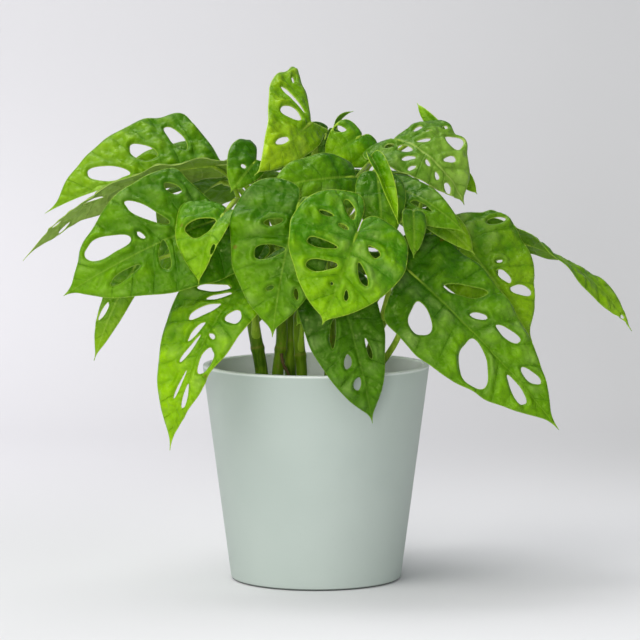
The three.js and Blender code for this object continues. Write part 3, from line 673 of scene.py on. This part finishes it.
def crumb_material(name, dark, light):
    """A chip of bark or a bead of perlite among the potting mix."""
    recipe = Recipe(name)
    shade = recipe.noise(recipe.position(), 300.0, 4.0, 0.6)
    colour = recipe.blend(shade.span(0.35, 0.65), dark, light)
    return recipe.surface(recipe.shader(colour, 0.85, 0.3, recipe.bump(shade, 0.6 * MM)))


# ---------------- leaves


def arc(reach, start, turn, length):
    """How far a circular arc has gone forward and sideways after `reach`, where it starts at an angle and
    turns back by `turn` over `length`."""
    bend = turn / length
    end = start - bend * reach
    return (np.sin(start) - np.sin(end)) / bend, (np.cos(end) - np.cos(start)) / bend


class Blade:
    """Flat leaf coordinates, along the midrib and across it, and their place in space."""

    def __init__(self, leaf, seed):
        self.leaf = leaf
        self.seed = seed
        self.base = np.array(leaf.base, float)
        chord = np.array(leaf.tip, float) - self.base
        span = np.linalg.norm(chord)
        self.ahead = chord / span
        up = np.array(leaf.face, float) - self.ahead * np.dot(leaf.face, self.ahead)
        self.up = up / np.linalg.norm(up)
        self.side = np.cross(self.ahead, self.up)
        self.turn = 4 * math.atan(2 * leaf.bow / span)
        self.length = span * self.turn / 2 / math.sin(self.turn / 2)
        self.holes = self.perforations()
        self.vein_marks = [self.vein_table(0), self.vein_table(1)]

    def by_half(self, name, across):
        """The leaf's value for the half that each point lies in."""
        first, second = getattr(self.leaf, name)
        return np.where(across < 0, float(second), float(first))

    def place(self, along, across, height):
        """Where points of the flat blade lie in space, at a height over its middle surface."""
        forward, rise = arc(along, self.turn / 2, self.turn, self.length)
        tilt = self.turn / 2 - self.turn * along / self.length
        roll = math.radians(self.leaf.twist) * (along / self.length - 0.5)
        flat_up = np.outer(np.cos(tilt), self.up) - np.outer(np.sin(tilt), self.ahead)
        left = np.cos(roll)[:, None] * self.side + np.sin(roll)[:, None] * flat_up
        top = np.cos(roll)[:, None] * flat_up - np.sin(roll)[:, None] * self.side
        fold, curl = (np.radians(self.by_half(name, across)) for name in ("fold", "curl"))
        bend = np.where(np.abs(curl) < 1e-6, 1e-6, curl) / self.by_half("wide", across)
        slope = fold - bend * np.abs(across)
        out = (np.sin(fold) - np.sin(slope)) / bend
        lift = (np.cos(slope) - np.cos(fold)) / bend
        sign = np.where(across < 0, -1.0, 1.0)
        return (
            self.base
            + np.outer(forward, self.ahead)
            + np.outer(rise, self.up)
            + left * (sign * (out - height * np.sin(slope)))[:, None]
            + top * (lift + height * np.cos(slope))[:, None]
        )

    def margin(self, half):
        """One half's margin from base to tip, gently uneven."""
        leaf = self.leaf
        depth = leaf.lobe[half] * self.length
        corners = []
        for x, y, pull in OUTLINE:
            start = x * max(depth, 0) + y * max(-depth, 0)
            along = (start if x < 0 else x * self.length) - pull * depth
            opening = max(-x * (1 - y) * leaf.sinus, LEAST_NOTCH - y) if x < 0 else 0
            taper = 1 - max(x, 0) * leaf.taper[half]
            corners.append((along, (y + opening) * taper * leaf.wide[half], 0))
        steps = 7 * (len(corners) - 1) + 1
        line = spline(corners, steps)
        share = np.linspace(0, 1, steps)
        uneven = ripple(line[:, 0], line[:, 1], 24, self.seed + 50 + half) * 0.012 * leaf.wide[half]
        line[:, 1] += uneven * np.sin(math.pi * share) ** 0.7
        line[1:-1, 1] = np.maximum(line[1:-1, 1], 0.25)
        return np.column_stack((line[:, 0], (-1 if half else 1) * line[:, 1]))

    def outline(self):
        first, second = self.margin(0), self.margin(1)
        return np.vstack((first, second[-2:0:-1]))

    def lean(self, along):
        """The angle from the midrib at which the side veins leave it."""
        return np.radians(VEIN_LEAN[0] - VEIN_LEAN[1] * along / self.length)

    def perforations(self):
        if not self.leaf.paired:
            return self.leaf.holes
        made = []
        for along, across, long, wide in PAIRED:
            for reach, sign in zip(self.leaf.wide, (1, -1)):
                made.append((along * self.length, sign * across * reach, long * reach, wide * self.length))
        return made

    def hole_loop(self, hole, number):
        """A perforation's edge: an uneven ellipse, narrower at the end towards the midrib."""
        along, across, length, width = hole[:4]
        lean = math.radians(hole[4]) if len(hole) > 4 else self.lean(along)
        sign = math.copysign(1, across)
        turn = turns(max(10, int((length + width) * 1.4 / GRID)))
        random = np.random.default_rng(self.seed * 100 + number)
        uneven = 1 + sum(
            size * np.sin(count * turn + random.uniform(0, 6))
            for count, size in ((2, 0.06), (3, 0.07), (5, 0.03))
        )
        far = np.cos(turn) * length / 2 * uneven
        wide = np.sin(turn) * width / 2 * uneven * (1 + 0.16 * np.cos(turn))
        x = along + far * math.cos(lean) - wide * math.sin(lean)
        y = across + sign * (far * math.sin(lean) + wide * math.cos(lean))
        return np.column_stack((x, y))

    def rise_of(self, along, reach, width):
        """Where on the midrib the side vein through a point starts, found in a few Newton steps."""
        start = np.array(along, float)
        arch = VEIN_ARCH * reach * reach / width
        for _ in range(12):
            lean = self.lean(np.clip(start, 0, self.length))
            value = start + reach / np.tan(lean) + arch - along
            slope = 1 + reach * (math.radians(VEIN_LEAN[1]) / self.length) / np.sin(lean) ** 2
            start = start - 0.9 * value / slope
        return start

    def vein_table(self, half):
        """Places on the midrib and the vein count there, such that no main vein crosses a perforation."""
        width = self.leaf.wide[half]
        side_holes = [h for h in self.holes if (h[1] < 0) == bool(half) and h[2] > 5]
        centres = sorted(float(self.rise_of(h[0], abs(h[1]), width)) for h in side_holes)
        merged = []
        for centre in centres:
            if merged and centre - merged[-1] < 0.55 * VEIN_SPACING:
                merged[-1] = (merged[-1] + centre) / 2
            else:
                merged.append(centre)
        places, counts = (merged or [VEIN_SPACING / 2]), [0.5]
        for last, centre in zip(places, places[1:]):
            counts.append(counts[-1] + max(1, round((centre - last) / VEIN_SPACING)))
        beyond = 20
        places = [places[0] - beyond * VEIN_SPACING, *places, places[-1] + beyond * VEIN_SPACING]
        counts = [counts[0] - beyond, *counts, counts[-1] + beyond]
        return np.array(places, float), np.array(counts, float)

    def veins(self, along, across):
        """The running count of side veins at each point, whole on a vein, and their spacing."""
        phase = np.zeros(len(along))
        spacing = np.zeros(len(along))
        for half in (0, 1):
            here = (across < 0) == bool(half)
            width = self.leaf.wide[half]
            reach = np.abs(across[here])
            start = self.rise_of(along[here], reach, width)
            places, counts = self.vein_marks[half]
            count = np.interp(start, places, counts)
            gap = 1 / np.maximum(np.interp(start + 1, places, counts) - count, 1e-3)
            angle = np.arctan2(reach, along[here] - VEIN_ARCH * reach * reach / width)
            lobe_count = np.interp(0, places, counts) - (angle - self.lean(0)) / LOBE_FAN
            lobe_gap = np.hypot(along[here], reach) * LOBE_FAN
            phase[here] = np.where(start < 0, lobe_count, count)
            spacing[here] = np.clip(np.where(start < 0, lobe_gap, gap), 2, 25)
        return phase, spacing

    def swelling(self, along, across, edge, phase, spacing):
        """How far the skin swells between the side veins and the cross veins: 0 on a vein to about 1."""
        reach = np.abs(across)
        inside = smooth_step(reach, 0.3, 5) * smooth_step(edge, 0, 3)
        quilt = np.abs(np.sin(math.pi * phase)) ** 0.8 * np.clip(spacing / VEIN_SPACING, 0.3, 1.2)
        strip = np.floor(phase)
        shift = np.sin(strip * 12.9 + self.seed) * 3 + 0.3 * ripple(along, across, 20, self.seed + 5)
        cross = np.abs(np.sin(math.pi * (reach / CROSS_SPACING + shift))) ** 0.7
        uneven = 0.8 + 0.6 * ripple(along, across, 18, self.seed + 1)
        return np.clip(quilt * (0.6 + 0.4 * cross) * uneven, 0, 1.4) * inside

    def relief(self, along, across, edge, hole_gap, swell):
        """Height of the middle surface: quilting, waves at the margin, lifted rims round perforations."""
        reach = np.abs(across)
        width = self.by_half("wide", across)
        wave = (reach / width) ** 2 * np.sin(2 * math.pi * along / 31 + self.seed) * RELIEF["wave"]
        slow = ripple(along, across, 28, self.seed + 2) * smooth_step(reach, 0, 12) * RELIEF["slow"]
        blister = ripple(along, across, 11, self.seed + 3) * RELIEF["blister"]
        fine = ripple(along, across, 5.5, self.seed + 4) * RELIEF["fine"]
        ring = np.exp(-((hole_gap - 2.4) / 1.7) ** 2) - 0.5 * np.exp(-((hole_gap - 6.5) / 2.2) ** 2)
        rim = ring * (RELIEF["rim"] + RELIEF["uneven_rim"] * ripple(along, across, 26, self.seed + 6))
        size = np.clip(width / 30, 0.3, 1)
        inside = smooth_step(reach, 0.5, 7) * smooth_step(edge, 0, 4)
        return (RELIEF["swell"] * swell + wave + slow + rim) * size + (blister + fine) * inside


def inside_loop(points, loop):
    """Which points lie in a closed loop, by counting crossings."""
    x, y = points[:, 0][:, None], points[:, 1][:, None]
    ax, ay = loop[:, 0][None], loop[:, 1][None]
    bx, by = np.roll(loop[:, 0], -1)[None], np.roll(loop[:, 1], -1)[None]
    spans = (ay > y) != (by > y)
    with np.errstate(divide="ignore", invalid="ignore"):
        crossing = spans & (x < (bx - ax) * (y - ay) / (by - ay) + ax)
    return crossing.sum(1) % 2 == 1


def inside_blade(points, border, holes):
    """Which points lie on the blade, outside its perforations."""
    keep = inside_loop(points, border)
    for hole in holes:
        keep &= ~inside_loop(points, hole)
    return keep


def resample(loop, step):
    """Points along a closed loop, no farther apart than `step`."""
    made = []
    for a, b in zip(loop, np.roll(loop, -1, axis=0)):
        parts = max(1, math.ceil(np.linalg.norm(b - a) / step))
        made.extend(a + (b - a) * k / parts for k in range(parts))
    return np.array(made)


def distance_to(points, others):
    """Each point's distance to the nearest of the others, found in batches to save memory."""
    best = np.full(len(points), np.inf)
    batch = 2000
    for start in range(0, len(points), batch):
        part = points[start:start + batch]
        gaps = np.hypot(part[:, 0][:, None] - others[:, 0], part[:, 1][:, None] - others[:, 1])
        best[start:start + batch] = gaps.min(1)
    return best


def blade_net(blade):
    """Flat vertices and triangles of a blade, with its perforations left open."""
    border = resample(blade.outline(), GRID)
    holes = [blade.hole_loop(hole, number) for number, hole in enumerate(blade.holes)]
    loops = np.vstack([border, *holes])
    low, high = border.min(0), border.max(0)
    rows = np.arange(low[1], high[1], GRID * math.sqrt(3) / 2)
    grid = np.array([
        (x, y)
        for number, y in enumerate(rows)
        for x in np.arange(low[0] + (number % 2) * GRID / 2, high[0], GRID)
    ])
    keep = inside_blade(grid, border, holes) & (distance_to(grid, loops) > 0.6 * GRID)
    keep &= np.abs(grid[:, 1]) > 0.6 * GRID
    rib = np.array([(x, 0.0) for x in np.arange(GRID, blade.length - GRID, GRID)])
    rib = rib[(distance_to(rib, loops) > 0.5 * GRID) & inside_blade(rib, border, holes)]
    points = np.vstack((loops, rib, grid[keep]))
    edges = []
    start = 0
    for loop in (border, *holes):
        edges += [(start + i, start + (i + 1) % len(loop)) for i in range(len(loop))]
        start += len(loop)
    made = delaunay_2d_cdt([tuple(point) for point in points], edges, [], 0, 1e-4)
    flat = np.array([tuple(v) for v in made[0]])
    faces = np.array([face for face in made[2] if len(face) == 3])
    faces = faces[inside_blade(flat[faces].mean(1), border, holes)]
    a, b, c = (flat[faces[:, k]] for k in range(3))
    area = (b[:, 0] - a[:, 0]) * (c[:, 1] - a[:, 1]) - (b[:, 1] - a[:, 1]) * (c[:, 0] - a[:, 0])
    faces[area < 0] = faces[area < 0][:, ::-1]
    used, renumbered = np.unique(faces, return_inverse=True)
    return flat[used], renumbered.reshape(faces.shape), border, holes


def open_edges(faces):
    """The directed edges that only one triangle uses."""
    sides = [tuple(face[[k, (k + 1) % 3]]) for face in faces for k in range(3)]
    known = set(sides)
    return [(a, b) for a, b in sides if (b, a) not in known]


def add_blade(shape, blade):
    """The blade as a closed sheet: an upper and a lower skin, with walls along every open edge."""
    flat, faces, border, holes = blade_net(blade)
    along, across = flat[:, 0], flat[:, 1]
    far_off = np.full((1, 2), 1e3)
    rims = [resample(hole, BORDER_STEP) for hole in holes] or [far_off]
    hole_gap = distance_to(flat, np.vstack(rims))
    edge = np.minimum(distance_to(flat, resample(border, BORDER_STEP)), hole_gap)
    phase, spacing = blade.veins(along, across)
    swell = blade.swelling(along, across, edge, phase, spacing)
    middle = blade.relief(along, across, edge, hole_gap, swell)
    share = np.clip(along / blade.length, 0, 1)
    half = (EDGE_THICKNESS + (BLADE_THICKNESS - EDGE_THICKNESS) * smooth_step(edge, 0, 2)) / 2
    rib = np.exp(-((across / 1.3) ** 2)) * np.clip(1 - along / blade.length, 0, 1)
    rib *= smooth_step(edge, 0, 3)
    upper = blade.place(along, across, middle + half - 0.5 * rib)
    lower = blade.place(along, across, middle - half - 1.1 * rib)
    values = dict(along=along, across=across, edge=edge, phase=phase, spacing=spacing)
    values.update(swell=swell, share=share, seed=blade.seed * 61.0)
    size = len(flat)
    shape.add(upper, [face[::-1] for face in faces], 0, **values)
    shape.add(lower, faces, 1, **values)
    walls = [(a, b, b + size, a + size) for a, b in open_edges(faces)]
    shape.faces.extend(walls)
    shape.materials.extend([0] * len(walls))


def add_petiole(shape, blade):
    """The leaf stalk: thicker on the vine, slim, a swollen joint, and a ridge under the midrib."""
    leaf = blade.leaf
    start = spline(STEMS[leaf.stem][1], 201)[round(leaf.at * 200)]
    base = blade.place(np.array([2.0]), np.array([0.0]), np.array([-1.2]))[0]
    stalk_steps, ridge_steps = 44, 10
    stalk = spline([start, leaf.via, base], stalk_steps)
    run = np.linspace(4, 0.22 * blade.length, ridge_steps)
    ridge = blade.place(run, np.zeros(ridge_steps), np.full(ridge_steps, -1.0))
    share = np.linspace(0, 1, stalk_steps)
    thick = PETIOLE["radius"] - PETIOLE["loss"] * share ** 0.8
    thick += PETIOLE["base"] * np.exp(-((share - 0.05) / 0.08) ** 2)
    thick += PETIOLE["joint"] * np.exp(-((share - 0.93) / 0.04) ** 2)
    scale = 1 if max(leaf.wide) > PETIOLE["small_leaf"] else PETIOLE["scale"]
    radii = np.concatenate((thick, np.linspace(*PETIOLE["ridge"], ridge_steps))) * scale
    vertices, faces = tube(np.vstack((stalk, ridge)), radii)
    shape.add(vertices, faces, 2, mark=0.0)


def make_leaf(node, leaf, seed, materials):
    blade = Blade(leaf, seed)
    shape = Shape()
    add_blade(shape, blade)
    add_petiole(shape, blade)
    shape.build(node, materials)


# ---------------- vines, root, soil, pot


def make_stem(node, radius, path, seed, material):
    """A vine: swollen rings where leaves were, tapering to its growing tip."""
    line = spline(path, VINE["steps"])
    run = np.concatenate(([0], np.cumsum(np.linalg.norm(np.diff(line, axis=0), axis=1))))
    random = np.random.default_rng(seed)
    radii = np.full(len(line), float(radius)) * 0.97
    mark = np.zeros(len(line))
    joint = VINE["first_joint"]
    while joint < run[-1] - 6:
        radii += VINE["joint_swell"] * np.exp(-((run - joint) / 2.2) ** 2)
        mark += 0.8 * np.exp(-((run - joint - 1.4) / 0.8) ** 2)
        joint += random.uniform(*VINE["joint_gaps"])
    radii *= 1 - VINE["taper"] * smooth_step(run, 0.55 * run[-1], run[-1])
    radii *= np.sqrt(np.clip((run[-1] - run + 0.4) / 4, 0, 1))
    mark = np.repeat(np.clip(mark, 0, 1), VINE["sides"])
    make_single(node, material, "vine", *tube(line, radii, VINE["sides"]), mark=mark)


def make_aerial_root(material):
    radius, path = AERIAL_ROOT
    share = np.linspace(0, 1, 60)
    radii = radius * (0.75 + 0.35 * share + 0.15 * np.sin(share * 40))
    root = tube(spline(path, len(share)), radii, 10)
    make_single("aerial_root", material, "aerial_root", *root, mark=0.0)


def lathe(outline, sides):
    """A closed surface of revolution about Z from an outline that starts and ends on the axis."""
    rings = [[(r * math.cos(t), r * math.sin(t), z) for t in turns(sides)] for r, z in outline[1:-1]]
    vertices = [vertex for ring in rings for vertex in ring]
    faces = ring_faces(len(rings), sides, closed_ends=False)
    first, last = len(vertices), len(vertices) + 1
    vertices += [(0, 0, outline[0][1]), (0, 0, outline[-1][1])]
    end = (len(rings) - 1) * sides
    for side in range(sides):
        ahead = (side + 1) % sides
        faces.append((first, ahead, side))
        faces.append((last, end + side, end + ahead))
    return vertices, faces


def rounded(start, corner, end, parts=6):
    """Points of a quadratic curve from start to end, pulled to the corner."""
    start, corner, end = (np.array(p, float) for p in (start, corner, end))
    shares = np.linspace(0, 1, parts + 1)
    return [tuple((1 - t) ** 2 * start + 2 * t * (1 - t) * corner + t * t * end) for t in shares]


def wall_points(low, high, parts):
    """Points that part a straight piece of outline, without its ends."""
    low, high = np.array(low, float), np.array(high, float)
    return [tuple(low + (high - low) * k / parts) for k in range(1, parts)]


def wall_slope():
    """How far the pot widens over its height."""
    return (POT["rim_radius"] - POT["base_radius"]) / POT["height"]


def inner_radius(height):
    return POT["base_radius"] - POT["wall"] + wall_slope() * height


def make_pot(material):
    height, rim, base = POT["height"], POT["rim_radius"], POT["base_radius"]
    wall, floor, lip, foot = POT["wall"], POT["floor"], POT["lip"], POT["foot"]
    slope = wall_slope()
    toe = (base + slope * foot, foot)
    shoulder = (rim - slope * lip, height - lip)
    inner_top = (rim - wall - slope * lip, height - lip)
    inner_foot = (inner_radius(floor), floor)
    outline = [(0, 0)] + wall_points((0, 0), (base - foot, 0), 8)
    outline += rounded((base - foot, 0), (base, 0), toe)
    outline += wall_points(toe, shoulder, 24)
    outline += rounded(shoulder, (rim, height), (rim - lip, height))
    outline += rounded((rim - wall + lip, height), (rim - wall, height), inner_top)
    outline += wall_points(inner_top, inner_foot, 16)
    outline += [inner_foot] + wall_points(inner_foot, (0, floor), 6) + [(0, floor)]
    make_single("pot", material, "pot_glaze", *lathe(outline, POT["sides"]))


def lump(random, centre, size):
    """A small uneven stone or chip: a sphere of rings pushed about."""
    rings, sides = CRUMBS["rings"], CRUMBS["sides"]
    stretch = random.uniform(0.55, 1.25, 3) * size
    turn = random.uniform(0, 2 * math.pi)
    polar = np.repeat(math.pi * (np.arange(rings) + 0.5) / rings, sides)
    around = np.tile(turns(sides), rings)
    push = random.uniform(0.82, 1.12, rings * sides)
    x = np.sin(polar) * np.cos(around) * stretch[0] * push
    y = np.sin(polar) * np.sin(around) * stretch[1] * push
    z = np.cos(polar) * stretch[2] * push
    turned = (x * math.cos(turn) - y * math.sin(turn), x * math.sin(turn) + y * math.cos(turn), z)
    return np.column_stack(turned) + centre, [face[::-1] for face in ring_faces(rings, sides)]


def make_soil(materials):
    """The potting mix: an uneven crumbly top over a plain block, with bark chips and perlite on it."""
    shoulder = SOIL["top"] - SOIL["dome"]
    reach = inner_radius(shoulder) - SOIL["gap"]
    bottom = POT["floor"] + SOIL["gap"]
    rings, sides = SOIL["rings"], SOIL["sides"]

    def dome(radius):
        return shoulder + SOIL["dome"] * 0.8 * (1 - (radius / reach) ** 2)

    around = turns(sides)
    vertices = []
    for ring in range(rings):
        radius = reach * (1 - (ring + 0.5) / rings)
        x, y = radius * np.cos(around), radius * np.sin(around)
        rough = 1.0 * ripple(x, y, 17, 901) + 0.7 * ripple(x, y, 5, 902) + 0.35 * ripple(x, y, 2.6, 903)
        rough = rough * smooth_step(np.full(sides, reach - radius), 0, 3)
        vertices.extend(zip(x, y, dome(radius) + rough))
    foot = inner_radius(bottom) - SOIL["gap"]
    foot_ring = list(zip(foot * np.cos(around), foot * np.sin(around), np.full(sides, bottom)))
    shape = Shape()
    shape.add(foot_ring + vertices, ring_faces(rings + 1, sides), 0)
    random = np.random.default_rng(77)
    for number in range(CRUMBS["count"]):
        radius = (reach - 4) * math.sqrt(random.uniform(0, 1))
        turn = random.uniform(0, 2 * math.pi)
        size = random.uniform(*CRUMBS["size"])
        centre = (radius * math.cos(turn), radius * math.sin(turn), dome(radius) + 0.25 * size)
        kind, scale = (1, 1) if number % CRUMBS["perlite_every"] else (2, CRUMBS["perlite_scale"])
        shape.add(*lump(random, centre, size * scale), kind)
    shape.build("soil", materials)


# ---------------- building the plant

make_pot(glaze_material())
bark = crumb_material("bark_chip", (62, 40, 24), (118, 84, 54))
perlite = crumb_material("perlite", (178, 172, 160), (226, 222, 212))
make_soil([soil_material(), bark, perlite])

vine_green = stalk_material("vine_skin", (50, 86, 4), (116, 152, 20), (128, 104, 48))
root_brown = stalk_material("root_skin", (58, 44, 30), (112, 90, 60), (40, 30, 22))
petiole_green = stalk_material("petiole_skin", (104, 144, 20), (166, 194, 64), (140, 124, 60))
for seed, (name, (radius, path)) in enumerate(STEMS.items(), 300):
    make_stem(f"stem_{name}", radius, path, seed, vine_green)
make_aerial_root(root_brown)

skins = {tone: [blade_material(tone, False), blade_material(tone, True), petiole_green] for tone in TONES}
for seed, (name, leaf) in enumerate(LEAVES.items(), 11):
    node = f"leaf_{name}"
    make_leaf(node, leaf, seed, skins[leaf.tone])


# ---------------- stage, light and camera


def stage_material():
    """Pale paper with painted light: on the sweep behind lighter to the left and darker to the right and
    to the top; on the floor darker to the left and lighter at the centre and to the right.
    """
    recipe = Recipe("studio_sweep")
    place = recipe.position()
    x, y, height = recipe.split(place)
    # Painted light falloff on the sweep: lighter to the left, darker to the right and to the top.
    share = x.span(-0.42, 0.3, kind="LINEAR") + (recipe.noise(place, 3.0) * 0.04 - 0.02)
    colour = recipe.blend(share, (231, 229, 233), (203, 203, 203))
    colour = recipe.blend(height.span(0.05, 0.4, 0.0, 0.5), colour, (200, 200, 201))
    # Painted light on the floor: darker to the left, lighter at the centre and to the right.
    floor = recipe.blend(x.span(-0.2, 0.05), (217, 217, 218), (229, 229, 230))
    return recipe.surface(recipe.shader(recipe.blend(y.span(0.7, 0.1), colour, floor), 0.9, 0.2))


def make_stage():
    """A wide floor, and behind the plant a low sweep that just fills the camera's view."""
    reach, half, bend = STAGE["reach"], STAGE["half_width"], STAGE["bend"]
    vertices = [(-reach, -reach, 0.0), (reach, -reach, 0.0), (reach, reach, 0.0), (-reach, reach, 0.0)]
    faces = [(0, 1, 2, 3)]
    full_turn = math.acos(1 - STAGE["height"] / bend)
    for step in range(STAGE["steps"] + 1):
        turn = full_turn * step / STAGE["steps"]
        y, z = STAGE["start"] + bend * math.sin(turn), bend * (1 - math.cos(turn))
        vertices += [(-half, y, z), (half, y, z)]
        if step:
            last = len(vertices)
            faces.append((last - 4, last - 3, last - 1, last - 2))
    sweep = link("studio_sweep", smooth_mesh("studio_sweep", vertices, faces, [stage_material()]))


def aim(thing, place, target):
    """Puts a light or a camera at a place and points it at a target."""
    thing.location = place
    heading = np.array(target, float) - np.array(place, float)
    flat = math.hypot(heading[0], heading[1])
    thing.rotation_euler = (math.atan2(flat, -heading[2]), 0.0, math.atan2(-heading[0], heading[1]))


def area_light(name, place, size, power, target=PLANT_MIDDLE, colour=(1, 1, 1)):
    light = bpy.data.lights.new(name, "AREA")
    light.shape = "DISK"
    light.size = size
    light.energy = power
    light.color = colour
    aim(link(name, light), place, target)


def make_world():
    world = bpy.data.worlds.new("studio")
    world.use_nodes = True
    background = world.node_tree.nodes["Background"]
    background.inputs["Color"].default_value = SKY["colour"]
    background.inputs["Strength"].default_value = SKY["strength"]
    bpy.context.scene.world = world


def make_camera():
    """A long lens, just above the plant and looking slightly down."""
    camera = bpy.data.cameras.new("camera")
    camera.sensor_width = SENSOR_WIDTH
    camera.lens = CAMERA["focal_pixels"] / CAMERA["picture_width"] * SENSOR_WIDTH
    viewer = link("camera", camera)
    aim(viewer, CAMERA["place"], CAMERA["target"])
    bpy.context.scene.camera = viewer


make_stage()
for name, light in LIGHTS.items():
    area_light(name, **light)
make_world()
bpy.context.scene.view_settings.view_transform = "Standard"
make_camera()
